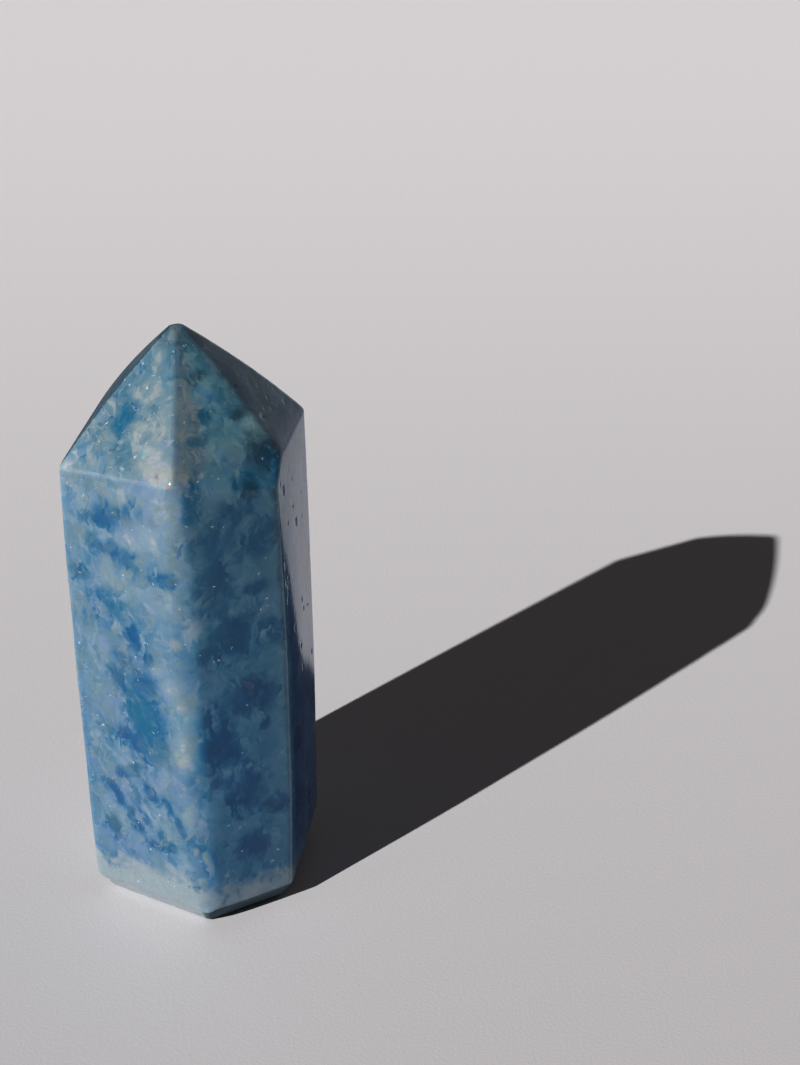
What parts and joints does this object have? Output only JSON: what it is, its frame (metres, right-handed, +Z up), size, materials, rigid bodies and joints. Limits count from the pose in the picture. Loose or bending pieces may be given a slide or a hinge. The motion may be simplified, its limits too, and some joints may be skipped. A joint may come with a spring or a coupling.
{
  "type": "chalcedony point",
  "caption": "Hexagonal polished blue stone point that stands on its flat sawn base and ends in a low faceted tip.",
  "frame": {"origin": "on the surface that the stone stands on, below the middle of its bounding box", "axes": "+Z up the point, -Y towards the front corner of the shaft, +X to the right seen from the front"},
  "size_m": [0.0294, 0.0316, 0.0796],
  "materials": {
    "stone": "polished"
  },
  "bodies": {
    "root": {"stone_point": "stone"}
  },
  "joints": []
}
